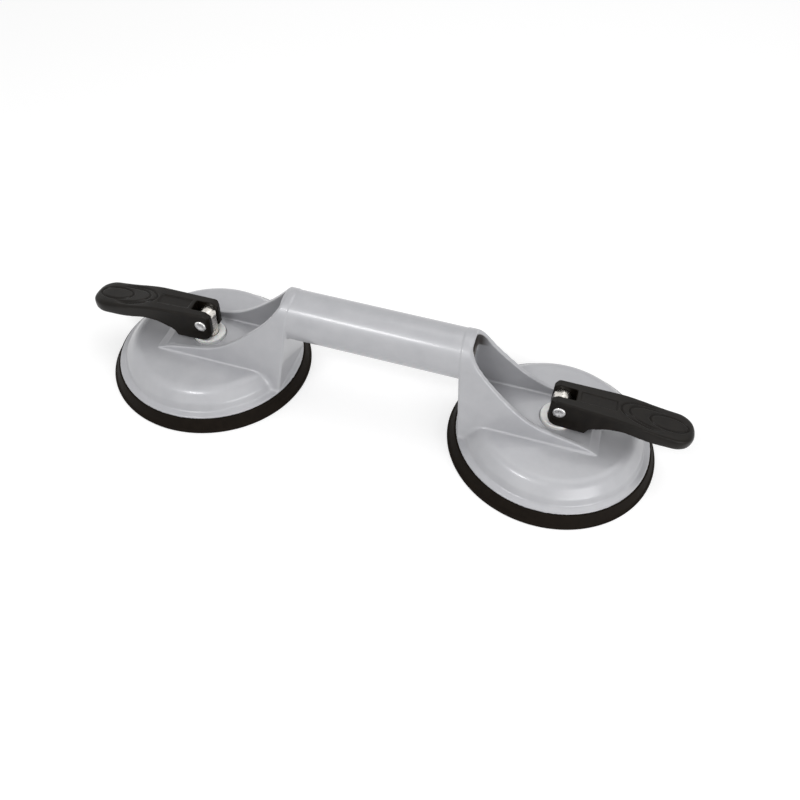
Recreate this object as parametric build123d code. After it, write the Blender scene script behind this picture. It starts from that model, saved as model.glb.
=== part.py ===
from build123d import *
import os
from math import cos, radians, sin, tan

# Suction lifter with two vacuum cups and a bridge handle, in millimetres.
# The origin is on the ground under the middle of the handle, +X runs along the
# handle and +Z is up. Both cups are shown locked: lever down, pad centre pulled up.

# Overall layout
cup_spacing = 211.0
handle_axis_z = 54.3
handle_radius = 14.1
handle_wall = 2.9

# Cup casting, radii and heights from the ground
rim_radius = 55.4
rim_underside_z = 7.4
rim_edge = 1.0
ledge_width = 3.8
ledge_rise = 0.9
ledge_round = 1.5
knee_step = 1.6
knee_rise = 4.2
knee_round = 5.0
plateau_z = 20.1
skirt_angle = 48.0
shoulder_radius = 8.0
dome_wall = 3.0
boss_radius = 12.0
boss_bottom_z = 13.6
rib_count = 6
rib_width = 2.2

# Bracket between the handle and a cup, x measured from the cup axis
arch_step = 0.35
arch_wall = 3.0
leg_flare = 7.0
bracket_foot_x = -51.6
bracket_foot_z = 8.8
end_wall_lean = 6.2
trough_end_x = 25.0
trough_step = 2.1
wall_top_x = (-55.0, -44.3, -30.5, -11.5, 8.0)
wall_top_z = (70.2, 55.4, 42.0, 29.3, 24.8)
wall_tip_rise = 0.3
end_wall_bevel = 0.8

# Rubber pad
pad_radius = 60.0
pad_neck_radius = 56.2
pad_lip_width = 3.2
pad_lip_height = 1.6
pad_seat_inner = 46.0
pad_membrane = 3.1
pad_dish_z = 5.6
pad_dish_radius = 28.0
pad_collar_width = 3.0

# Steel plate in the pad, and the stud that pulls it up
plate_radius = 34.0
plate_thickness = 2.5
plate_bevel = 0.6
stud_radius = 5.5
stud_tail_radius = 4.0
stud_tongue = 7.6

# Guide bush and sliding disc round the stud
bush_radius = 8.0
bush_flange_radius = 11.0
bush_flange = 1.2
disc_radius = 9.5
disc_top_z = 24.1
disc_recess = 0.8
disc_recess_gap = 0.5

# Lever, x and z measured from its pin
pin_z = 35.2
pin_radius = 3.5
pin_stand_out = 0.3
cam_gap = 0.3
nose_x = -5.6
nose_width = 17.6
nose_top = 8.0
cam_chamfer_x = -1.3
cam_chamfer_z = -7.2
cam_round = 6.0
cam_corner_round = 3.0
heel_x = 15.7
heel_step = 2.4
nose_bevel = 2.0
nose_corner = 1.6
top_slope = 2.6
cheek_taper = 2.2
lever_end_x = 72.4
lever_tip_z = -2.4
grip_half_width = 10.8
grip_start_x = 36.0
grip_middle_x = 61.4
back_x = (44.0, 61.4, 68.0)
back_z = (4.4, 2.3, 1.4)
under_x = (67.5, 56.0, 47.5, 40.5, 33.0, 26.0, 21.0)
under_z = (-6.0, -5.6, -4.5, -2.8, -2.2, -3.4, -5.4)
slot_gap = 0.2
slot_end_x = 7.2
label_start_x = 9.4
label_end_x = 29.0
label_half_width = 3.6
label_depth = 0.7
lever_edge = 1.2

# Running clearances, and how far a cut runs past what it cuts
fit_gap = 0.06
soft_gap = 0.3
cut_margin = 5.0

# Derived places
handle_bore = handle_radius - handle_wall
arch_radius = handle_radius + arch_step
rim_top_z = rim_underside_z + rim_edge
ledge_z = rim_top_z + ledge_rise
ledge_radius = rim_radius - ledge_width
knee_radius = ledge_radius - knee_step
knee_z = ledge_z + knee_rise
ceiling_z = plateau_z - dome_wall
floor_z = plateau_z + trough_step
recess_z = floor_z - disc_recess
plate_bottom_z = pad_dish_z + pad_membrane + soft_gap
plate_top_z = plate_bottom_z + plate_thickness
cam_base = disc_top_z + cam_gap - pin_z
half_spacing = cup_spacing / 2


def turned(outline):
    """Closed outline of (radius, height) turned about the vertical cup axis."""
    return revolve(Plane.XZ * make_face(outline), Axis.Z)


def side_bar(outline, width):
    """Closed outline in side view, run across the middle plane to a full width."""
    return extrude(Plane.XZ.offset(-width / 2) * make_face(outline), amount=width)


def skirt_point(offset, z):
    """Radius of the sloping skirt at a height, offset inwards by a wall."""
    slope = radians(skirt_angle)
    return knee_radius - offset / sin(slope) - (z - knee_z) / tan(slope)


def dome_solid():
    """Outside of one cup: flat top, sloping skirt, steep knee and a ledge at the rim, filled inside."""
    top = FilletPolyline(
        (0, plateau_z),
        (skirt_point(0, plateau_z), plateau_z),
        (knee_radius, knee_z),
        (ledge_radius, ledge_z),
        (rim_radius, rim_top_z),
        radius=[shoulder_radius, knee_round, ledge_round],
    )
    rest = Polyline(
        (rim_radius, rim_top_z), (rim_radius, rim_underside_z), (0, rim_underside_z), (0, plateau_z)
    )
    return turned(top + rest)


def dome_cavity():
    """Hollow under one cup, open downwards below the rim."""
    low_z = rim_underside_z - cut_margin
    low_radius = ledge_radius - dome_wall
    slope = radians(skirt_angle)
    shoulder = (shoulder_radius - dome_wall) * tan(slope / 2)
    shoulder_x = skirt_point(dome_wall, ceiling_z)
    return turned(Polyline(
        (0, ceiling_z),
        (shoulder_x - shoulder, ceiling_z),
        (shoulder_x + shoulder * cos(slope), ceiling_z - shoulder * sin(slope)),
        (low_radius, knee_z - (low_radius - skirt_point(dome_wall, knee_z)) * tan(slope)),
        (low_radius, low_z),
        (0, low_z),
        close=True,
    ))


def arch_face(radius, foot_z):
    """Arch section: a round top with straight legs that flare outwards and run down tangent to it."""
    flare = radians(leg_flare)
    tangent_y = radius * cos(flare)
    tangent_z = handle_axis_z + radius * sin(flare)
    foot_y = (radius + (handle_axis_z - foot_z) * sin(flare)) / cos(flare)
    top = ThreePointArc((tangent_y, tangent_z), (0, handle_axis_z + radius), (-tangent_y, tangent_z))
    legs = Polyline(
        (-tangent_y, tangent_z), (-foot_y, foot_z), (foot_y, foot_z), (tangent_y, tangent_z)
    )
    return make_face(top + legs)


def end_wall_x(z, inset=0.0):
    """Place of the leaning end wall at a height."""
    return bracket_foot_x + inset - (z - bracket_foot_z) * tan(radians(end_wall_lean))


def bracket_side():
    """Side view of a bracket: leaning end wall, and a wall top that sweeps down to a point."""
    top_z = handle_axis_z + arch_radius + cut_margin
    sweep = Spline(
        *zip(wall_top_x, wall_top_z),
        (trough_end_x, plateau_z + wall_tip_rise),
    )
    rest = Polyline(
        (trough_end_x, plateau_z + wall_tip_rise),
        (trough_end_x, bracket_foot_z),
        (bracket_foot_x, bracket_foot_z),
        (end_wall_x(top_z), top_z),
        (wall_top_x[0], top_z),
        (wall_top_x[0], wall_top_z[0]),
    )
    return side_bar(sweep + rest, 2 * rim_radius)


def arch_bar(radius, foot_z):
    """Arch section run along X past both ends of a bracket."""
    start_x = end_wall_x(handle_axis_z + arch_radius) - cut_margin
    section = Plane((start_x, 0, 0), x_dir=(0, 1, 0), z_dir=(1, 0, 0)) * arch_face(radius, foot_z)
    return extrude(section, amount=trough_end_x + cut_margin - start_x)


def bracket_solid():
    """Outside of one arched bracket, about the cup axis."""
    bracket = arch_bar(arch_radius, bracket_foot_z) & bracket_side()
    end_wall = bracket.faces().sort_by(Axis.X)[0]
    corners = [edge for edge in end_wall.edges() if edge.center().Z > bracket_foot_z + 1]
    return chamfer(corners, end_wall_bevel)


def bracket_hollow():
    """Open trough inside a bracket, above its floor and outside its end wall."""
    top_z = handle_axis_z + arch_radius + cut_margin
    room = Polyline(
        (end_wall_x(floor_z, arch_wall), floor_z),
        (trough_end_x + cut_margin, floor_z),
        (trough_end_x + cut_margin, top_z),
        (end_wall_x(top_z, arch_wall), top_z),
        close=True,
    )
    return arch_bar(arch_radius - arch_wall, floor_z) & side_bar(room, 2 * rim_radius)


def cup_casting():
    """One cup with its bracket, boss and ribs, about the cup axis."""
    cavity = dome_cavity()
    boss = Pos(0, 0, boss_bottom_z) * Cylinder(
        boss_radius, ceiling_z - boss_bottom_z, align=(Align.CENTER, Align.CENTER, Align.MIN))
    rib = Pos(0, 0, boss_bottom_z) * Box(
        rim_radius, rib_width, ceiling_z - boss_bottom_z + 1,
        align=(Align.MIN, Align.CENTER, Align.MIN))
    ribs = [Rot(0, 0, 360 / rib_count * (i + 0.5)) * rib for i in range(rib_count)]
    inside = boss + (Part() + ribs & cavity)
    shell = dome_solid() + bracket_solid() - bracket_hollow() - cavity + inside
    bush_hole = Cylinder(bush_radius, 4 * plateau_z)
    recess = Pos(0, 0, recess_z) * Cylinder(
        disc_radius + disc_recess_gap, disc_recess + cut_margin, align=(Align.CENTER, Align.CENTER, Align.MIN))
    return shell - bush_hole - recess


def casting():
    """The whole light-alloy body: two cups, two brackets and the tubular handle in one piece."""
    right = Pos(half_spacing, 0, 0) * cup_casting()
    left = Rot(0, 0, 180) * right
    tube_end_x = half_spacing + bracket_foot_x
    tube = Pos(0, 0, handle_axis_z) * Rot(0, 90, 0) * Cylinder(handle_radius, 2 * tube_end_x)
    bore = Pos(0, 0, handle_axis_z) * Rot(0, 90, 0) * Cylinder(handle_bore, 2 * half_spacing)
    return right + left + tube - bore


def rubber_pad():
    """Rubber disc with a flared lip, a seat for the rim and a dished membrane."""
    seat_top = rim_underside_z
    top_z = pad_dish_z + pad_membrane
    collar_radius = plate_radius + soft_gap
    lip_inner = pad_radius - pad_lip_width
    slope = pad_dish_z / (lip_inner - pad_dish_radius)
    valley_z = pad_dish_z - slope * (pad_seat_inner - pad_dish_radius) + pad_membrane
    return turned(Polyline(
        (0, pad_dish_z),
        (pad_dish_radius, pad_dish_z),
        (lip_inner, 0),
        (pad_radius - 0.3, 0),
        (pad_radius, pad_lip_height / 3),
        (pad_radius - 1.4, pad_lip_height),
        (pad_neck_radius, seat_top),
        (pad_seat_inner + 1.5, seat_top),
        (pad_seat_inner, valley_z),
        (collar_radius + pad_collar_width, top_z - 1),
        (collar_radius + pad_collar_width, plate_top_z - soft_gap),
        (collar_radius, plate_top_z - soft_gap),
        (collar_radius, top_z),
        (0, top_z),
        close=True,
    ))


def pad_plate():
    """Steel plate that the pad is moulded round, with a hole for the stud's tail."""
    disc = Pos(0, 0, plate_bottom_z) * Cylinder(
        plate_radius, plate_thickness, align=(Align.CENTER, Align.CENTER, Align.MIN))
    disc = chamfer(disc.edges().filter_by(GeomType.CIRCLE), plate_bevel)
    return disc - Cylinder(stud_tail_radius, 4 * plate_top_z)


def pull_stud():
    """Stud with a riveted tail, a round shank and a flat eye for the lever pin."""
    tongue_z = disc_top_z - 0.2
    crown_z = pin_z + stud_radius
    shank = Pos(0, 0, plate_top_z) * Cylinder(
        stud_radius, crown_z - plate_top_z, align=(Align.CENTER, Align.CENTER, Align.MIN))
    tail = Pos(0, 0, plate_bottom_z) * Cylinder(
        stud_tail_radius, plate_thickness, align=(Align.CENTER, Align.CENTER, Align.MIN))
    side = Pos(0, stud_tongue / 2, tongue_z) * Box(
        4 * stud_radius, stud_radius, crown_z, align=(Align.CENTER, Align.MIN, Align.MIN))
    crown = Pos(0, 0, pin_z) * (
        Box(4 * stud_radius, 4 * stud_radius, 2 * stud_radius, align=(
            Align.CENTER, Align.CENTER, Align.MIN))
        - Rot(90, 0, 0) * Cylinder(stud_radius, 5 * stud_radius))
    eye = Pos(0, 0, pin_z) * Rot(90, 0, 0) * Cylinder(pin_radius + fit_gap, 4 * stud_radius)
    return shank - side - mirror(side, Plane.XZ) - crown - eye + tail


def guide_bush():
    """Flanged bush pressed up into the boss, in which the stud slides."""
    body = Pos(0, 0, boss_bottom_z) * Cylinder(
        bush_radius, recess_z - boss_bottom_z, align=(Align.CENTER, Align.CENTER, Align.MIN))
    flange = Pos(0, 0, boss_bottom_z) * Cylinder(
        bush_flange_radius, bush_flange, align=(Align.CENTER, Align.CENTER, Align.MAX))
    flange = chamfer(flange.edges().group_by(Axis.Z)[0], 0.4)
    return body + flange - Cylinder(stud_radius + fit_gap, 4 * plateau_z)


def sliding_disc():
    """Disc that the lever's cam slides on, let into the trough floor."""
    disc = Pos(0, 0, recess_z) * Cylinder(
        disc_radius, disc_top_z - recess_z, align=(Align.CENTER, Align.CENTER, Align.MIN))
    disc = chamfer(disc.edges().group_by(Axis.Z)[-1], 0.4)
    return disc - Cylinder(stud_radius + soft_gap, 4 * plateau_z)


def lever_pin():
    """Plain cross pin, with chamfered ends just proud of the lever's cheeks."""
    pin = Rot(90, 0, 0) * Cylinder(pin_radius, nose_width + 2 * pin_stand_out)
    return Pos(0, 0, pin_z) * chamfer(pin.edges().filter_by(GeomType.CIRCLE), 0.35)


def lever_top(x):
    """Height of the lever's flat top, which falls gently from the nose."""
    return nose_top - x * tan(radians(top_slope))


def cheek(x):
    """Half width of the lever's front, which widens gently from the nose."""
    return nose_width / 2 + x * tan(radians(cheek_taper))


def lever_side():
    """Side view of the lever from before its nose: flat top, drooping grip, waisted underside, heel."""
    shoulder = (label_end_x, lever_top(label_end_x))
    heel_top = (heel_x + heel_step / 2, cam_base + heel_step)
    back = Spline(
        shoulder, *zip(back_x, back_z), tangents=[(1, -tan(radians(top_slope))), (1, -0.3)])
    tip = ThreePointArc((back_x[-1], back_z[-1]), (lever_end_x, lever_tip_z), (under_x[0], under_z[0]))
    under = Spline(*zip(under_x, under_z), heel_top, tangents=[(-1, 0), (-0.5, -1)])
    front = Polyline(
        heel_top, (heel_x, cam_base), (2 * nose_x, cam_base), (2 * nose_x, lever_top(2 * nose_x)), shoulder)
    return side_bar(back + tip + under + front, 4 * grip_half_width)


def lever_plan():
    """Plan view of the lever from before its nose: a bar that widens gently into a round-ended grip."""
    front_half = cheek(2 * nose_x)
    grip_half = cheek(grip_start_x)
    widening = tan(radians(cheek_taper))
    front = Polyline(
        (grip_start_x, -grip_half), (2 * nose_x, -front_half), (2 * nose_x, front_half), (grip_start_x, grip_half))
    back = Spline(
        (grip_start_x, grip_half), (grip_middle_x, grip_half_width), tangents=[(1, widening), (1, 0)])
    end = ThreePointArc((grip_middle_x, grip_half_width), (lever_end_x, 0), (grip_middle_x, -grip_half_width))
    front_side = Spline(
        (grip_middle_x, -grip_half_width), (grip_start_x, -grip_half), tangents=[(-1, 0), (-1, widening)])
    outline = make_face(front + back + end + front_side)
    return extrude(Plane.XY.offset(2 * cam_base) * outline, amount=4 * nose_top - 2 * cam_base)


def cam_nose():
    """Room that the lever fills: a cam in side view, with bevelled corners round its nose."""
    far_x = lever_end_x + cut_margin
    far_y = 2 * grip_half_width
    top_z = 2 * nose_top - nose_bevel
    bevel_top_x = nose_x + 1.5 * nose_top
    cam = FilletPolyline(
        (far_x, cam_base),
        (cam_chamfer_x, cam_base),
        (nose_x, cam_chamfer_z),
        (nose_x, nose_top - nose_bevel),
        (bevel_top_x, top_z),
        radius=[cam_round, cam_corner_round, nose_bevel / 4],
    )
    side = side_bar(cam + Polyline((bevel_top_x, top_z), (far_x, top_z), (far_x, cam_base)), 2 * far_y)
    nose_half = cheek(nose_x) - nose_corner
    spread = far_y - nose_half
    plan = Polyline(
        (nose_x, -nose_half), (nose_x, nose_half), (nose_x + spread, far_y), (far_x, far_y),
        (far_x, -far_y), (nose_x + spread, -far_y), close=True)
    return side & extrude(Plane.XY.offset(2 * cam_base) * make_face(plan), amount=4 * nose_top - 2 * cam_base)


def lever():
    """Moulded lever with an open fork round the stud, about its pin axis."""
    body = lever_side() & lever_plan()
    rims = [
        edge for edge in body.edges()
        if edge.length > 2 * lever_edge and edge.center().Z > 0
        and abs(edge.center().Y) > nose_width / 4 and edge.bounding_box().size.X > 2 * lever_edge
    ]
    body = fillet(rims, lever_edge) & cam_nose()
    slot_half = stud_tongue / 2 + slot_gap
    slot = Pos(2 * nose_x, 0, 0) * Box(
        slot_end_x - 2 * nose_x, 2 * slot_half, -4 * cam_base,
        align=(Align.MIN, Align.CENTER, Align.CENTER))
    label = Pos(0, 0, nose_top) * Rot(0, top_slope, 0) * Pos(label_start_x, 0, -label_depth) * Box(
        label_end_x - label_start_x, 2 * label_half_width, nose_top,
        align=(Align.MIN, Align.CENTER, Align.MIN))
    pin_hole = Rot(90, 0, 0) * Cylinder(pin_radius, 2 * nose_width)
    return Pos(0, 0, pin_z) * (body - slot - label - pin_hole)


cup_parts = {
    "rubber_pad": rubber_pad(),
    "pad_plate": pad_plate(),
    "pull_stud": pull_stud(),
    "guide_bush": guide_bush(),
    "sliding_disc": sliding_disc(),
    "lever": lever(),
    "lever_pin": lever_pin(),
}

nodes = {"body_casting": casting()}
for name, part in cup_parts.items():
    nodes["right_" + name] = Pos(half_spacing, 0, 0) * part
    nodes["left_" + name] = Rot(0, 0, 180) * Pos(half_spacing, 0, 0) * part

os.makedirs("parts", exist_ok=True)
for name, part in nodes.items():
    export_step(part, f"parts/{name}.step")
    print(name, round(part.volume, 1), len(part.solids()))
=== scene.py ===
from math import cos, pi, radians, sin, tan

import bmesh
import bpy
import numpy as np
from mathutils import Matrix, Vector


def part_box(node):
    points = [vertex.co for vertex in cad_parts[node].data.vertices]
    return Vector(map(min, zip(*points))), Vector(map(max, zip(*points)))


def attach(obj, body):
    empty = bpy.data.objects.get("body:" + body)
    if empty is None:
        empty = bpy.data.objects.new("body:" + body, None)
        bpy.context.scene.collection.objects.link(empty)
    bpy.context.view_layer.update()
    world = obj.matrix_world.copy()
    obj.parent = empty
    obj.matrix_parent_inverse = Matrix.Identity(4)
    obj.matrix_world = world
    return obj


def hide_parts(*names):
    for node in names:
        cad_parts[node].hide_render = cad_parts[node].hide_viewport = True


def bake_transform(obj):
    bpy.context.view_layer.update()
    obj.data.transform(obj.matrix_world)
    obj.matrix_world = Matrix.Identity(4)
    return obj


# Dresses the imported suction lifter. Lengths are in metres, and MM turns millimetres into them.
MM = 0.001

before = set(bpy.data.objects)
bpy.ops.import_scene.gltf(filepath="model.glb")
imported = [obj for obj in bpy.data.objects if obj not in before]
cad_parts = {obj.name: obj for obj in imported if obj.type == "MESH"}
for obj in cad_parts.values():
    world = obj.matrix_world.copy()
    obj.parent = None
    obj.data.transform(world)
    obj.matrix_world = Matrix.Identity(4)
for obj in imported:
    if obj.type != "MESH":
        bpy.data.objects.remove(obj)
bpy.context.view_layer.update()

# Places measured on the frame
CASTING_LOW, CASTING_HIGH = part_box("body_casting")
RIM_RADIUS = CASTING_HIGH.y
CUP_X = CASTING_HIGH.x - RIM_RADIUS
PAD_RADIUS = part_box("right_rubber_pad")[1].y
PAD_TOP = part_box("right_rubber_pad")[1].z
PLATE_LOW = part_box("right_pad_plate")[0].z
PLATE_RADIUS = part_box("right_pad_plate")[1].y
PIN_LOW, PIN_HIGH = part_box("right_lever_pin")
PIN_RADIUS = (PIN_HIGH.z - PIN_LOW.z) / 2
PIN_Z = (PIN_HIGH.z + PIN_LOW.z) / 2
SIDES = {"right": 1, "left": -1}

# Forms of the casting, as the solids have them
RIM_UNDER_Z = CASTING_LOW.z
RIM_TOP_Z = RIM_UNDER_Z + 1.0 * MM
LEDGE_Z = RIM_TOP_Z + 0.9 * MM
LEDGE_RADIUS = RIM_RADIUS - 3.8 * MM
LEDGE_ROUND = 1.5 * MM
KNEE_Z = LEDGE_Z + 4.2 * MM
KNEE_RADIUS = LEDGE_RADIUS - 1.6 * MM
KNEE_ROUND = 5.0 * MM
PLATEAU_Z = 20.1 * MM
SKIRT_ANGLE = radians(48)
SHOULDER_RADIUS = 8.0 * MM
HANDLE_Z = 54.3 * MM
HANDLE_RADII = (14.1 * MM, 14.45 * MM, 11.45 * MM, 11.2 * MM)
ARCH_RADII = (14.45 * MM, 11.45 * MM)
LEG_FLARE = radians(7)
END_WALL_LEAN = radians(6.2)
END_WALL_FOOT = (51.6 * MM, 8.8 * MM)
ARCH_WALL = 3.0 * MM
FLOOR_Z = 22.2 * MM
RECESS_Z = 21.4 * MM
RECESS_RADIUS = 10.0 * MM

# Mesh spacing and rounds of smoothing, which soften the edges as a mould does
SMOOTH_FACTOR = 0.5
CASTING_VOXEL = 0.5 * MM
CASTING_ROUNDS = 5
LEVER_VOXEL = 0.32 * MM
LEVER_ROUNDS = 3

# How far a softened point is put back onto its exact face, and how well it has to face that way
SNAP_REACH = 0.3 * MM
FACING_START = 0.9
FACING_FADE = 0.07

# Strip along the rim that keeps its softened edge, across and upwards
RIM_MARGIN = 0.5 * MM
RIM_MARGIN_Z = 0.3 * MM

# Reach of a bracket outwards from the cup's axis, and of its trough floor to either side of it
BRACKET_REACH = 30.0 * MM
FLOOR_REACH = 50.0 * MM

# Fillets at the brackets' feet: x outwards from the cup's axis, y, z, and over what length each fades
FOOT_ALONG = (-50.0 * MM, -43.0 * MM)
FOOT_ACROSS = (15.0 * MM, 21.0 * MM)
FOOT_HEIGHT = (10.5 * MM, 20.0 * MM)
FOOT_FADE = 3.0 * MM
FOOT_HEIGHT_FADE = 2.0 * MM
FOOT_ROUNDS = 80

# Cylinders that close the disc's recess before the softening and open it again, past its limits
PLUG_WIDER = 0.6 * MM
PLUG_DEEPER = 0.4 * MM
CUTTER_ABOVE = 2.0 * MM

# Rounder end of the grip: its start, x from the lever's pin, and the length over which it comes in
TIP_START = 44.0 * MM
TIP_FADE = 16.0 * MM
TIP_ROUNDS = 250

# Thumb rings on the grip, x from the lever's pin: start, half width, end, where each fades out
RING_START = (31.0 * MM, 35.5 * MM, 47.0 * MM)
RING_HALF_WIDTH = (7.6 * MM, 6.4 * MM, 4.8 * MM)
RING_END = 68.0 * MM
RING_FADE = (55.0 * MM, 57.0 * MM, 90.0 * MM)
RING_FADE_LENGTH = 8.0 * MM
RING_DEPTH = 0.85 * MM
RING_WIDTH = 0.5 * MM
RING_UPWARD_START = 0.75
RING_UPWARD_FADE = 0.15

# Painted shade inside the handle tube: limits of its radius and of its length from the middle
BORE_RADII = (12.2 * MM, 11.8 * MM)
BORE_ENDS = (61.0 * MM, 56.0 * MM)

# Colours: a dark and a light tone, or one tone
LACQUER_TONES = (0.42, 0.422, 0.442), (0.465, 0.467, 0.485)
# Dark tone painted inside the handle tube as its shade
BORE_SHADE_TONE = (0.1, 0.09, 0.085)
RUBBER_TONES = (0.0065, 0.0045, 0.003), (0.0115, 0.0085, 0.006)
PLASTIC_TONES = (0.004, 0.003, 0.002), (0.008, 0.006, 0.004)
NYLON_TONE = (0.96, 0.96, 0.94)
BUSH_TONE = (0.7, 0.68, 0.6)

# Pad: lip and neck from its outer radius inwards, dish under the plate, membrane and collar
PAD_LIP = 3.2 * MM
PAD_FACE_INSET = 0.3 * MM
PAD_EDGE_Z = 0.55 * MM
PAD_FLARE = 1.4 * MM
PAD_FLARE_Z = 1.6 * MM
PAD_NECK = 3.8 * MM
PAD_RING_INNER = 46.0 * MM
PAD_OVERLAP = 0.4 * MM
PAD_DISH_RADIUS = 28.0 * MM
PAD_DISH_Z = 5.6 * MM
PAD_SKIN = 1.0 * MM
PAD_COLLAR = 3.2 * MM
PAD_SUNK = 0.3 * MM
PAD_CORE_TOP = PAD_TOP - 0.2 * MM
PAD_COLLAR_Z = PAD_DISH_Z - 0.4 * MM

# Peened end of a pin from its axis outwards: share of the radius, and depth below the end
PIN_END = (
    (0, 0.25 * MM), (0.35, 0.3 * MM), (0.55, 0.05 * MM), (0.8, 0), (0.94, 0.12 * MM), (1, 0.35 * MM))

# Light: surroundings as bounced light and as seen, and the floor's grey, glow, half width and drop
WORLD_STRENGTHS = (0.54, 1.0)
FLOOR_GREY = 0.7
FLOOR_GLOW = 0.45
FLOOR_HALF = 6.0
FLOOR_DROP = 0.05 * MM

# Camera, fitted to the photograph
VIEW_AZIMUTH = 14.03
VIEW_ELEVATION = 48.62
VIEW_ROLL = 3.21
VIEW_DISTANCE = 464 * MM
VIEW_TARGET = Vector((14.622, 0, 3.869)) * MM
VIEW_LENS = 35.06
SENSOR = 36.0
CLIP_START = 10 * MM
CLIP_END = 50.0


def link(name, data):
    """New object in the scene from a mesh, camera or lamp."""
    obj = bpy.data.objects.new(name, data)
    bpy.context.scene.collection.objects.link(obj)
    return obj


def apply_modifiers(obj):
    """The object's mesh becomes the result of its modifiers."""
    graph = bpy.context.evaluated_depsgraph_get()
    mesh = bpy.data.meshes.new_from_object(obj.evaluated_get(graph))
    obj.modifiers.clear()
    obj.data = mesh
    return obj


def cad_copy(node, name):
    """Closed copy of a CAD node's mesh, with its split corners joined."""
    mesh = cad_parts[node].data.copy()
    mesh.materials.clear()
    work = bmesh.new()
    work.from_mesh(mesh)
    bmesh.ops.remove_doubles(work, verts=work.verts, dist=1e-6)
    work.to_mesh(mesh)
    work.free()
    return link(name, mesh)


def points_of(mesh):
    """Vertex places as an array."""
    places = np.empty(len(mesh.vertices) * 3, np.float32)
    mesh.vertices.foreach_get("co", places)
    return places.reshape(-1, 3).astype(float)


def normals_of(mesh):
    """Vertex normals as an array."""
    normals = np.empty(len(mesh.vertices) * 3, np.float32)
    mesh.vertices.foreach_get("normal", normals)
    return normals.reshape(-1, 3).astype(float)


def set_points(mesh, places):
    """Writes vertex places back."""
    mesh.vertices.foreach_set("co", places.astype(np.float32).ravel())
    mesh.update()


def shade_smooth(obj):
    """Smooth shading on every face."""
    obj.data.polygons.foreach_set("use_smooth", [True] * len(obj.data.polygons))
    return obj


def soften(obj, voxel, rounds):
    """Even fine mesh of the same form, with its edges softened as a mould leaves them."""
    remesh = obj.modifiers.new("even", "REMESH")
    remesh.mode = "VOXEL"
    remesh.voxel_size = voxel
    remesh.adaptivity = 0.0
    smooth = obj.modifiers.new("soft", "SMOOTH")
    smooth.factor = SMOOTH_FACTOR
    smooth.iterations = rounds
    return shade_smooth(apply_modifiers(obj))


def rounded(corners, radii, steps=6):
    """Outline through 2-D corners, each turned with its radius."""
    outline = []
    count = len(corners)
    for i, (corner, radius) in enumerate(zip(corners, radii)):
        here = Vector(corner)
        before = (Vector(corners[i - 1]) - here).normalized()
        after = (Vector(corners[(i + 1) % count]) - here).normalized()
        if not radius:
            outline.append(here)
            continue
        half = before.angle(after) / 2
        reach = radius / tan(half)
        middle = here + (before + after).normalized() * radius / sin(half)
        first = here + before * reach - middle
        last = here + after * reach - middle
        turn = first.angle_signed(last)
        for k in range(steps + 1):
            angle = -turn * k / steps
            outline.append(middle + Vector((
                first.x * cos(angle) - first.y * sin(angle),
                first.x * sin(angle) + first.y * cos(angle))))
    return outline


def lathe(name, outline, centre, segments=180):
    """Closed outline of (radius, height) turned about a vertical axis."""
    work = bmesh.new()
    ring_points = []
    for radius, height in outline:
        if radius < 1e-7:
            ring_points.append([work.verts.new((centre[0], centre[1], height))])
            continue
        ring = []
        for k in range(segments):
            angle = 2 * pi * k / segments
            ring.append(work.verts.new(
                (centre[0] + radius * cos(angle), centre[1] + radius * sin(angle), height)))
        ring_points.append(ring)
    count = len(ring_points)
    for i in range(count):
        here, there = ring_points[i], ring_points[(i + 1) % count]
        for k in range(segments):
            after = (k + 1) % segments
            corners = [here[k % len(here)], here[after % len(here)],
                       there[after % len(there)], there[k % len(there)]]
            corners = list(dict.fromkeys(corners))
            if len(corners) > 2:
                work.faces.new(corners)
    bmesh.ops.recalc_face_normals(work, faces=work.faces)
    mesh = bpy.data.meshes.new(name)
    work.to_mesh(mesh)
    work.free()
    return shade_smooth(link(name, mesh))


def snap(places, normals, target, direction, reach):
    """Moves points that lie close to a true surface, and face as it does, onto it."""
    offset = np.linalg.norm(target - places, axis=1)
    facing = np.abs(np.sum(normals * direction, axis=1))
    near = np.clip((reach - offset) / (0.5 * reach), 0, 1)
    aligned = np.clip((facing - FACING_START) / FACING_FADE, 0, 1)
    weight = (near * aligned)[:, None]
    return places + (target - places) * weight


def nearest_on(outline, here):
    """Nearest points on an open 2-D outline, and the outline's direction across there."""
    best = np.full(len(here), np.inf)
    target = here.copy()
    across = np.zeros_like(here)
    for first, last in zip(outline, outline[1:]):
        start = np.array(first)
        run = np.array(last) - start
        length = np.linalg.norm(run)
        if length < 1e-9:
            continue
        share = np.clip((here - start) @ run / length ** 2, 0, 1)
        point = start + share[:, None] * run
        distance = np.linalg.norm(here - point, axis=1)
        closer = distance < best
        best[closer] = distance[closer]
        target[closer] = point[closer]
        across[closer] = (-run[1] / length, run[0] / length)
    return target, across


def dome_outline():
    """Radius and height along the outside of a cup, from its axis to the rim."""
    shoulder_x = KNEE_RADIUS - (PLATEAU_Z - KNEE_Z) / tan(SKIRT_ANGLE)
    corners = [(0, PLATEAU_Z), (shoulder_x, PLATEAU_Z), (KNEE_RADIUS, KNEE_Z), (LEDGE_RADIUS, LEDGE_Z),
               (RIM_RADIUS, RIM_TOP_Z), (RIM_RADIUS, RIM_UNDER_Z), (0, RIM_UNDER_Z)]
    return rounded(corners, [0, SHOULDER_RADIUS, KNEE_ROUND, LEDGE_ROUND, 0, 0, 0], 20)[:-2]


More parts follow.
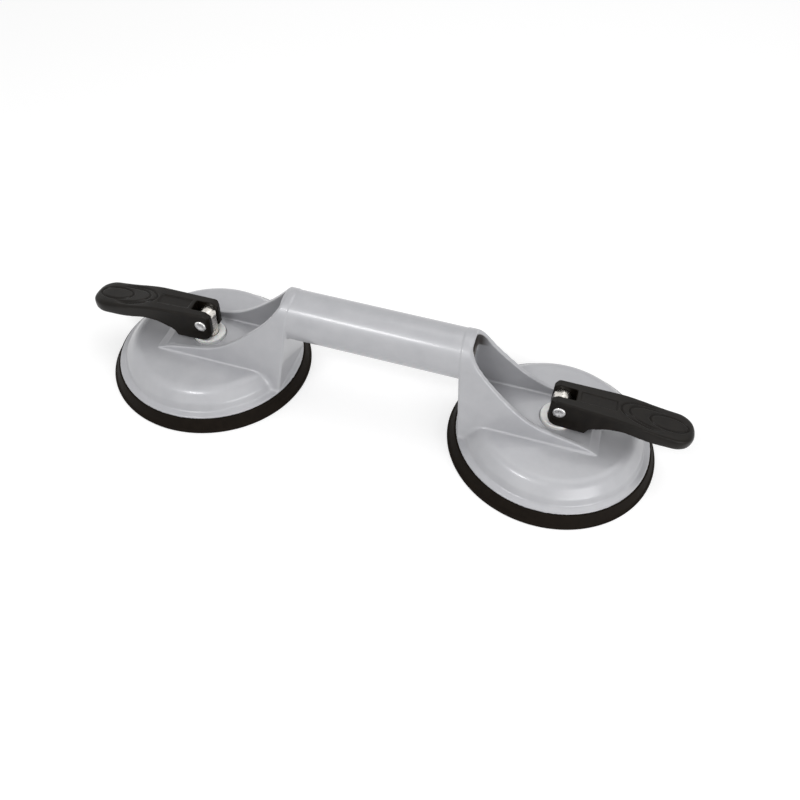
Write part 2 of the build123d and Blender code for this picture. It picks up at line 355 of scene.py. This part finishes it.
def true_dome(places, normals, side, reach):
    """Puts a cup's outside back onto its exact turned form."""
    flat = places[:, :2] - np.array((side * CUP_X, 0))
    radius = np.linalg.norm(flat, axis=1)
    out = flat / np.maximum(radius, 1e-6)[:, None]
    height = places[:, 2]
    usable = (radius < RIM_RADIUS - RIM_MARGIN) & (height > RIM_UNDER_Z + RIM_MARGIN_Z)
    usable &= height < PLATEAU_Z + reach
    nearest, across = nearest_on(dome_outline(), np.stack((radius, height), axis=1)[usable])
    target = places[usable]
    target[:, :2] = np.array((side * CUP_X, 0)) + out[usable] * nearest[:, :1]
    target[:, 2] = nearest[:, 1]
    direction = np.concatenate((out[usable] * across[:, :1], across[:, 1:]), axis=1)
    places[usable] = snap(places[usable], normals[usable], target, direction, reach)
    return places


def true_plane(places, normals, point, normal, usable, reach):
    """Puts the points near a flat face exactly onto it."""
    normal = np.array(normal) / np.linalg.norm(normal)
    height = (places[usable] - np.array(point)) @ normal
    target = places[usable] - height[:, None] * normal
    direction = np.tile(normal, (len(target), 1))
    places[usable] = snap(places[usable], normals[usable], target, direction, reach)
    return places


def true_casting(obj):
    """Puts the casting's faces back onto their exact domes, tubes and planes."""
    mesh = obj.data
    places = points_of(mesh)
    normals = normals_of(mesh)
    reach = SNAP_REACH
    for side in SIDES.values():
        places = true_dome(places, normals, side, reach)
        along = places[:, 0] * side - CUP_X
        bracket = (along < BRACKET_REACH) & (places[:, 0] * side > 0)
        for radius in ARCH_RADII:
            for wall in (1, -1):
                normal = (0, wall * cos(LEG_FLARE), sin(LEG_FLARE))
                foot = (0, wall * radius * cos(LEG_FLARE), HANDLE_Z + radius * sin(LEG_FLARE))
                low = bracket & (places[:, 2] < foot[2])
                places = true_plane(places, normals, foot, normal, low, reach)
        for inset in (0, ARCH_WALL):
            foot = (side * (CUP_X - END_WALL_FOOT[0] + inset), 0, END_WALL_FOOT[1])
            normal = (side * cos(END_WALL_LEAN), 0, sin(END_WALL_LEAN))
            places = true_plane(places, normals, foot, normal, bracket, reach)
        floor = bracket & (np.abs(along) < FLOOR_REACH)
        places = true_plane(places, normals, (0, 0, FLOOR_Z), (0, 0, 1), floor, reach)
    for tube_radius in HANDLE_RADII:
        across_tube = places[:, 1:] - np.array((0, HANDLE_Z))
        length = np.maximum(np.linalg.norm(across_tube, axis=1), 1e-6)[:, None]
        direction = np.concatenate((np.zeros((len(places), 1)), across_tube / length), axis=1)
        target = places.copy()
        target[:, 1:] = np.array((0, HANDLE_Z)) + across_tube / length * tube_radius
        usable = places[:, 2] > HANDLE_Z - HANDLE_RADII[0]
        moved = snap(places, normals, target, direction, 0.5 * reach)
        places = np.where(usable[:, None], moved, places)
    set_points(mesh, places)
    return obj


def cylinder(name, radius, low, high, centre, segments=180):
    """Plain closed cylinder for cutting and filling."""
    outline = [(0, low), (radius, low), (radius, high), (0, high)]
    return lathe(name, outline, centre, segments)


def join_into(obj, *others):
    """Adds other meshes to an object's mesh and removes them."""
    work = bmesh.new()
    work.from_mesh(obj.data)
    for other in others:
        work.from_mesh(other.data)
        bpy.data.objects.remove(other)
    work.to_mesh(obj.data)
    work.free()
    return obj


def cut(obj, tool):
    """Cuts a closed mesh out of another and removes it."""
    modifier = obj.modifiers.new("cut", "BOOLEAN")
    modifier.operation = "DIFFERENCE"
    modifier.solver = "MANIFOLD"
    modifier.object = tool
    apply_modifiers(obj)
    obj.data.materials.clear()
    bpy.data.objects.remove(tool)
    return obj


def melt(obj, weights, rounds):
    """Smooths an object's mesh where the weights say, as a large fillet does."""
    group = obj.vertex_groups.new(name="melt")
    for index in np.nonzero(weights > 0.01)[0]:
        group.add([int(index)], float(weights[index]), "REPLACE")
    smooth = obj.modifiers.new("melt", "SMOOTH")
    smooth.factor = SMOOTH_FACTOR
    smooth.iterations = rounds
    smooth.vertex_group = group.name
    apply_modifiers(obj)
    obj.vertex_groups.clear()
    return obj


def inside(value, low, high, fade):
    """1 between two limits, fading to 0 outside them."""
    return np.clip((value - low) / fade + 1, 0, 1) * np.clip((high - value) / fade + 1, 0, 1)


def fillet_feet(obj):
    """Large fillets where the bracket's corners run down over the skirt."""
    places = points_of(obj.data)
    along = np.abs(places[:, 0]) - CUP_X
    weights = inside(along, *FOOT_ALONG, FOOT_FADE)
    weights *= inside(np.abs(places[:, 1]), *FOOT_ACROSS, FOOT_FADE)
    weights *= inside(places[:, 2], *FOOT_HEIGHT, FOOT_HEIGHT_FADE)
    return melt(obj, weights, FOOT_ROUNDS)


def make_casting():
    """Light-alloy body with the soft edges and fillets of a die casting."""
    skin = cad_copy("body_casting", "casting_skin")
    plug_radius = RECESS_RADIUS + PLUG_WIDER
    plug_low = RECESS_Z - PLUG_DEEPER
    plugs = [
        cylinder(f"plug_{side}", plug_radius, plug_low, FLOOR_Z, (sign * CUP_X, 0), 90)
        for side, sign in SIDES.items()]
    join_into(skin, *plugs)
    soften(skin, CASTING_VOXEL, CASTING_ROUNDS)
    true_casting(skin)
    fillet_feet(skin)
    cutter_top = FLOOR_Z + CUTTER_ABOVE
    for side, sign in SIDES.items():
        cut(skin, cylinder(f"recess_{side}", RECESS_RADIUS, RECESS_Z, cutter_top, (sign * CUP_X, 0)))
    skin.data.materials.append(casting_material())
    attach(skin, "root")
    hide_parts("body_casting")
    return skin


def nodes_of(material):
    """Node tree tools of a fresh material: its nodes, links and main shader."""
    material.use_nodes = True
    tree = material.node_tree
    shader = tree.nodes["Principled BSDF"]
    return tree.nodes, tree.links, shader


def noise(nodes, links, scale, detail=3.0, roughness=0.55):
    """Noise over object coordinates, with its scale per metre."""
    coordinates = nodes.new("ShaderNodeTexCoord")
    texture = nodes.new("ShaderNodeTexNoise")
    texture.inputs["Scale"].default_value = scale
    texture.inputs["Detail"].default_value = detail
    texture.inputs["Roughness"].default_value = roughness
    links.new(coordinates.outputs["Object"], texture.inputs["Vector"])
    return texture


def spread(nodes, links, source, low, high, start=0.3, stop=0.7):
    """Maps a value between start and stop to a range of values."""
    ramp = nodes.new("ShaderNodeMapRange")
    ramp.inputs["From Min"].default_value = start
    ramp.inputs["From Max"].default_value = stop
    ramp.inputs["To Min"].default_value = low
    ramp.inputs["To Max"].default_value = high
    links.new(source, ramp.inputs["Value"])
    return ramp.outputs["Result"]


def two_tone(nodes, links, source, dark, light, start=0.3, stop=0.7):
    """Colour between two tones by a noise."""
    ramp = nodes.new("ShaderNodeValToRGB")
    ramp.color_ramp.elements[0].position = start
    ramp.color_ramp.elements[0].color = (*dark, 1)
    ramp.color_ramp.elements[1].position = stop
    ramp.color_ramp.elements[1].color = (*light, 1)
    links.new(source, ramp.inputs["Fac"])
    return ramp.outputs["Color"]


def bump(nodes, links, shader, source, height, strength=1.0):
    """Fine relief from a noise, with its height in metres."""
    relief = nodes.new("ShaderNodeBump")
    relief.inputs["Distance"].default_value = height
    relief.inputs["Strength"].default_value = strength
    links.new(source, relief.inputs["Height"])
    links.new(relief.outputs["Normal"], shader.inputs["Normal"])


def math_node(nodes, links, operation, first, second=None):
    """Result of one operation on one or two sockets."""
    node = nodes.new("ShaderNodeMath")
    node.operation = operation
    links.new(first, node.inputs[0])
    if second is not None:
        links.new(second, node.inputs[1])
    return node.outputs[0]


def bore_shade_mask(nodes, links):
    """1 inside the handle tube, where a dark tone is painted in as shade."""
    coordinates = nodes.new("ShaderNodeTexCoord")
    shift = nodes.new("ShaderNodeMapping")
    shift.inputs["Location"].default_value = (0, 0, -HANDLE_Z)
    links.new(coordinates.outputs["Object"], shift.inputs["Vector"])
    parts = nodes.new("ShaderNodeSeparateXYZ")
    links.new(shift.outputs["Vector"], parts.inputs["Vector"])
    flat = nodes.new("ShaderNodeCombineXYZ")
    links.new(parts.outputs["Y"], flat.inputs["Y"])
    links.new(parts.outputs["Z"], flat.inputs["Z"])
    radius = nodes.new("ShaderNodeVectorMath")
    radius.operation = "LENGTH"
    links.new(flat.outputs["Vector"], radius.inputs[0])
    within = spread(nodes, links, radius.outputs["Value"], 0, 1, *BORE_RADII)
    along = math_node(nodes, links, "ABSOLUTE", parts.outputs["X"])
    deep = spread(nodes, links, along, 0, 1, *BORE_ENDS)
    return math_node(nodes, links, "MULTIPLY", within, deep)


def casting_material():
    """Satin silver-grey lacquer over cast metal, with shade painted in dark inside the handle tube."""
    material = bpy.data.materials.new("silver_lacquer")
    nodes, links, shader = nodes_of(material)
    clouds = noise(nodes, links, 90, 4)
    grain = noise(nodes, links, 1900, 2)
    lacquer = two_tone(nodes, links, clouds.outputs["Fac"], *LACQUER_TONES)
    # Painted shade: the dark tone mixed in inside the handle tube
    bore_shade_mix = nodes.new("ShaderNodeMix")
    bore_shade_mix.data_type = "RGBA"
    bore_shade_mix.inputs["B"].default_value = (*BORE_SHADE_TONE, 1)
    links.new(bore_shade_mask(nodes, links), bore_shade_mix.inputs["Factor"])
    links.new(lacquer, bore_shade_mix.inputs["A"])
    links.new(bore_shade_mix.outputs["Result"], shader.inputs["Base Color"])
    links.new(spread(nodes, links, clouds.outputs["Fac"], 0.4, 0.5), shader.inputs["Roughness"])
    shader.inputs["Metallic"].default_value = 0.22
    shader.inputs["Specular IOR Level"].default_value = 0.3
    shader.inputs["Coat Weight"].default_value = 0.6
    shader.inputs["Coat Roughness"].default_value = 0.17
    bump(nodes, links, shader, grain.outputs["Fac"], 0.02 * MM, 0.5)
    return material


def rubber_material():
    """Matt black moulded rubber."""
    material = bpy.data.materials.new("black_rubber")
    nodes, links, shader = nodes_of(material)
    dust = noise(nodes, links, 260, 4)
    grain = noise(nodes, links, 2600, 2)
    links.new(two_tone(nodes, links, dust.outputs["Fac"], *RUBBER_TONES), shader.inputs["Base Color"])
    links.new(spread(nodes, links, dust.outputs["Fac"], 0.55, 0.7), shader.inputs["Roughness"])
    shader.inputs["Specular IOR Level"].default_value = 0.06
    bump(nodes, links, shader, grain.outputs["Fac"], 0.02 * MM, 0.6)
    return material


def lever_material():
    """Black moulded plastic with a fine eroded texture."""
    material = bpy.data.materials.new("black_plastic")
    nodes, links, shader = nodes_of(material)
    clouds = noise(nodes, links, 220, 3)
    grain = noise(nodes, links, 2400, 2)
    links.new(two_tone(nodes, links, clouds.outputs["Fac"], *PLASTIC_TONES), shader.inputs["Base Color"])
    links.new(spread(nodes, links, clouds.outputs["Fac"], 0.3, 0.4), shader.inputs["Roughness"])
    shader.inputs["Specular IOR Level"].default_value = 0.18
    bump(nodes, links, shader, grain.outputs["Fac"], 0.02 * MM, 0.4)
    return material


def steel_material(name, tone, warm):
    """Bright plated steel with dark specks and small pits."""
    material = bpy.data.materials.new(name)
    nodes, links, shader = nodes_of(material)
    clouds = noise(nodes, links, 700, 4)
    marks = noise(nodes, links, 1500, 3)
    light = (tone, tone * (1 - 0.4 * warm), tone * (1 - warm))
    dark = tuple(0.35 * value for value in light)
    specks = two_tone(nodes, links, clouds.outputs["Fac"], dark, light, 0.34, 0.44)
    links.new(specks, shader.inputs["Base Color"])
    links.new(spread(nodes, links, marks.outputs["Fac"], 0.14, 0.34), shader.inputs["Roughness"])
    shader.inputs["Metallic"].default_value = 1.0
    bump(nodes, links, shader, clouds.outputs["Fac"], 0.12 * MM, 0.8)
    return material


def nylon_material(name, tone):
    """Smooth pale plastic with a little light passing into it."""
    material = bpy.data.materials.new(name)
    nodes, links, shader = nodes_of(material)
    clouds = noise(nodes, links, 300, 3)
    dark = tuple(0.95 * value for value in tone)
    links.new(two_tone(nodes, links, clouds.outputs["Fac"], dark, tone), shader.inputs["Base Color"])
    links.new(spread(nodes, links, clouds.outputs["Fac"], 0.3, 0.4), shader.inputs["Roughness"])
    shader.inputs["Subsurface Weight"].default_value = 0.08
    shader.inputs["Subsurface Scale"].default_value = 1.0 * MM
    bump(nodes, links, shader, clouds.outputs["Fac"], 0.02 * MM, 0.3)
    return material


def make_pad(side, sign, material):
    """Rubber pad in three pieces: ring with the sealing lip, membrane and core round the plate."""
    centre = (sign * CUP_X, 0)
    lip_inner = PAD_RADIUS - PAD_LIP
    neck = PAD_RADIUS - PAD_NECK
    inner = PAD_RING_INNER
    seat_z = CASTING_LOW.z
    slope = PAD_DISH_Z / (lip_inner - PAD_DISH_RADIUS)
    ring_low = PAD_DISH_Z - slope * (inner - PAD_DISH_RADIUS)
    ring = lathe(f"{side}_pad_ring", rounded(
        [(inner, ring_low), (lip_inner, 0), (PAD_RADIUS - PAD_FACE_INSET, 0), (PAD_RADIUS, PAD_EDGE_Z),
         (PAD_RADIUS - PAD_FLARE, PAD_FLARE_Z), (neck, seat_z), (inner, seat_z)],
        [0, 0.3 * MM, 0.1 * MM, 0.25 * MM, 1.2 * MM, 0.6 * MM, 0.8 * MM]), centre, 240)
    outer = inner + PAD_OVERLAP
    outer_z = ring_low - PAD_OVERLAP * slope
    membrane = lathe(f"{side}_pad_membrane", [
        (0, PAD_DISH_Z), (PAD_DISH_RADIUS, PAD_DISH_Z), (outer, outer_z), (outer, ring_low + PAD_SKIN),
        (PAD_DISH_RADIUS, PAD_DISH_Z + PAD_SKIN), (0, PAD_DISH_Z + PAD_SKIN)], centre)
    core_low = PAD_DISH_Z + PAD_SUNK
    collar = PLATE_RADIUS + PAD_COLLAR
    seat = PLATE_RADIUS + PAD_SUNK
    core = lathe(f"{side}_pad_core", rounded(
        [(0, core_low), (PAD_DISH_RADIUS, core_low), (collar, PAD_COLLAR_Z), (collar, PAD_CORE_TOP),
         (seat, PAD_CORE_TOP), (seat, PLATE_LOW - PAD_SUNK), (0, PLATE_LOW - PAD_SUNK)],
        [0, 0, 0.6 * MM, 0.5 * MM, 0, 0, 0]), centre)
    for piece in (ring, membrane, core):
        piece.data.materials.append(material)
    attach(ring, "root")
    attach(core, f"{side}_stud_unit")
    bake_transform(membrane)
    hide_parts(f"{side}_rubber_pad")


def make_pin(side, sign, material):
    """Cross pin with peened ends."""
    end = [(share * PIN_RADIUS, PIN_HIGH.y - depth) for share, depth in PIN_END]
    outline = end + [(radius, -height) for radius, height in reversed(end)]
    pin = lathe(f"{side}_cross_pin", outline, (0, 0), 64)
    pin.data.transform(Matrix.Translation((sign * CUP_X, 0, PIN_Z)) @ Matrix.Rotation(pi / 2, 4, "X"))
    pin.data.materials.append(material)
    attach(pin, f"{side}_lever_unit")
    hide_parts(f"{side}_lever_pin")


def carve_rings(obj):
    """Presses the nested oval rings into the top of the grip."""
    mesh = obj.data
    places = points_of(mesh)
    normals = normals_of(mesh)
    x = places[:, 0] - CUP_X
    y = places[:, 1]
    depth = np.zeros(len(places))
    for start, half_width, fade in zip(RING_START, RING_HALF_WIDTH, RING_FADE):
        half_length = (RING_END - start) / 2
        u = (x - (RING_END - half_length)) / half_length
        v = y / half_width
        field = np.sqrt(u * u + v * v)
        slope = np.sqrt((u / half_length) ** 2 + (v / half_width) ** 2) / np.maximum(field, 1e-6)
        distance = np.abs(field - 1) / np.maximum(slope, 1e-6)
        ring = np.exp(-(distance / RING_WIDTH) ** 2) * np.clip((fade - x) / RING_FADE_LENGTH, 0, 1)
        depth = np.maximum(depth, ring)
    upward = np.clip((normals[:, 2] - RING_UPWARD_START) / RING_UPWARD_FADE, 0, 1)
    places[:, 2] -= depth * upward * RING_DEPTH
    set_points(mesh, places)
    return obj


def make_levers(material):
    """Moulded levers with soft edges and thumb rings, the left one turned half round."""
    right = cad_copy("right_lever", "right_lever_moulding")
    soften(right, LEVER_VOXEL, LEVER_ROUNDS)
    along = points_of(right.data)[:, 0] - CUP_X
    melt(right, np.clip((along - TIP_START) / TIP_FADE, 0, 1), TIP_ROUNDS)
    carve_rings(right)
    left = link("left_lever_moulding", right.data.copy())
    left.data.transform(Matrix.Rotation(pi, 4, "Z"))
    for side, lever in (("right", right), ("left", left)):
        lever.data.materials.append(material)
        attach(lever, f"{side}_lever_unit")
        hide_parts(f"{side}_lever")


def repaint(node, material):
    """Gives a CAD node a finished material."""
    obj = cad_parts[node]
    obj.data.materials.clear()
    obj.data.materials.append(material)


def make_camera():
    """Camera at the photograph's place."""
    azimuth, elevation, roll = (radians(value) for value in (VIEW_AZIMUTH, VIEW_ELEVATION, VIEW_ROLL))
    back = Vector((sin(azimuth) * cos(elevation), -cos(azimuth) * cos(elevation), sin(elevation)))
    level = Vector((cos(azimuth), sin(azimuth), 0))
    upright = back.cross(level)
    right = cos(roll) * level + sin(roll) * upright
    up = cos(roll) * upright - sin(roll) * level
    data = bpy.data.cameras.new("view")
    data.sensor_width = SENSOR
    data.lens = VIEW_LENS
    data.clip_start = CLIP_START
    data.clip_end = CLIP_END
    camera = link("view", data)
    turn = Matrix((right, up, back)).transposed().to_4x4()
    camera.matrix_world = Matrix.Translation(VIEW_TARGET + back * VIEW_DISTANCE) @ turn
    bpy.context.scene.camera = camera


def seen_directly(nodes, links):
    """1 for the camera's own rays and those in a gloss or clear material, 0 for other light."""
    path = nodes.new("ShaderNodeLightPath")
    total = path.outputs["Is Camera Ray"]
    for name in ("Is Glossy Ray", "Is Transmission Ray"):
        total = math_node(nodes, links, "MAXIMUM", total, path.outputs[name])
    return total


def make_floor():
    """White floor that keeps a faint shadow of the object."""
    mesh = bpy.data.meshes.new("floor")
    half = FLOOR_HALF
    corners = [(-half, -half, 0), (half, -half, 0), (half, half, 0), (-half, half, 0)]
    mesh.from_pydata(corners, [], [(0, 1, 2, 3)])
    floor = link("floor", mesh)
    floor.location.z = -FLOOR_DROP
    material = bpy.data.materials.new("white_floor")
    material.use_nodes = True
    nodes, links = material.node_tree.nodes, material.node_tree.links
    nodes.clear()
    output = nodes.new("ShaderNodeOutputMaterial")
    glow = nodes.new("ShaderNodeEmission")
    matt = nodes.new("ShaderNodeBsdfDiffuse")
    matt.inputs["Color"].default_value = (FLOOR_GREY, FLOOR_GREY, FLOOR_GREY, 1)
    strength = nodes.new("ShaderNodeMath")
    strength.operation = "MULTIPLY"
    strength.inputs[1].default_value = FLOOR_GLOW
    links.new(seen_directly(nodes, links), strength.inputs[0])
    links.new(strength.outputs[0], glow.inputs["Strength"])
    both = nodes.new("ShaderNodeAddShader")
    links.new(glow.outputs[0], both.inputs[0])
    links.new(matt.outputs[0], both.inputs[1])
    links.new(both.outputs[0], output.inputs["Surface"])
    floor.data.materials.append(material)


def make_world():
    """Even white surroundings."""
    world = bpy.data.worlds.new("studio")
    bpy.context.scene.world = world
    world.use_nodes = True
    nodes, links = world.node_tree.nodes, world.node_tree.links
    background = nodes["Background"]
    background.inputs["Color"].default_value = (1, 1, 1, 1)
    strength = spread(nodes, links, seen_directly(nodes, links), *WORLD_STRENGTHS, 0, 1)
    links.new(strength, background.inputs["Strength"])


def area_light(name, place, aim, size, power):
    """Soft rectangular lamp aimed at a point."""
    data = bpy.data.lights.new(name, "AREA")
    data.shape = "RECTANGLE"
    data.size, data.size_y = size
    data.energy = power
    lamp = link(name, data)
    lamp.location = place
    lamp.rotation_euler = (Vector(aim) - Vector(place)).to_track_quat("-Z", "Y").to_euler()


def make_lights():
    """Large soft lamps behind and to the right, and a small one in front for the glints."""
    area_light("back", (0.35, 0.35, 1.2), (0.08, 0, 0), (1.2, 0.9), 3.6)
    area_light("right", (0.55, -0.5, 0.2), (-0.06, 0, 0.02), (0.5, 0.3), 1.5)
    area_light("front", (-0.21, -0.56, 0.76), (0.04, 0, 0.02), (0.26, 0.12), 2.0)


make_camera()
make_world()
make_floor()
make_lights()

rubber = rubber_material()
plastic = lever_material()
steel = steel_material("plated_steel", 0.86, 0.02)
warm_steel = steel_material("stud_steel", 0.72, 0.1)
nylon = nylon_material("white_nylon", NYLON_TONE)
bush_plastic = nylon_material("natural_plastic", BUSH_TONE)

make_casting()
make_levers(plastic)
for side, sign in SIDES.items():
    make_pad(side, sign, rubber)
    make_pin(side, sign, steel)
    repaint(f"{side}_pad_plate", steel)
    repaint(f"{side}_pull_stud", warm_steel)
    repaint(f"{side}_sliding_disc", nylon)
    repaint(f"{side}_guide_bush", bush_plastic)

bpy.context.scene.view_settings.view_transform = "Standard"
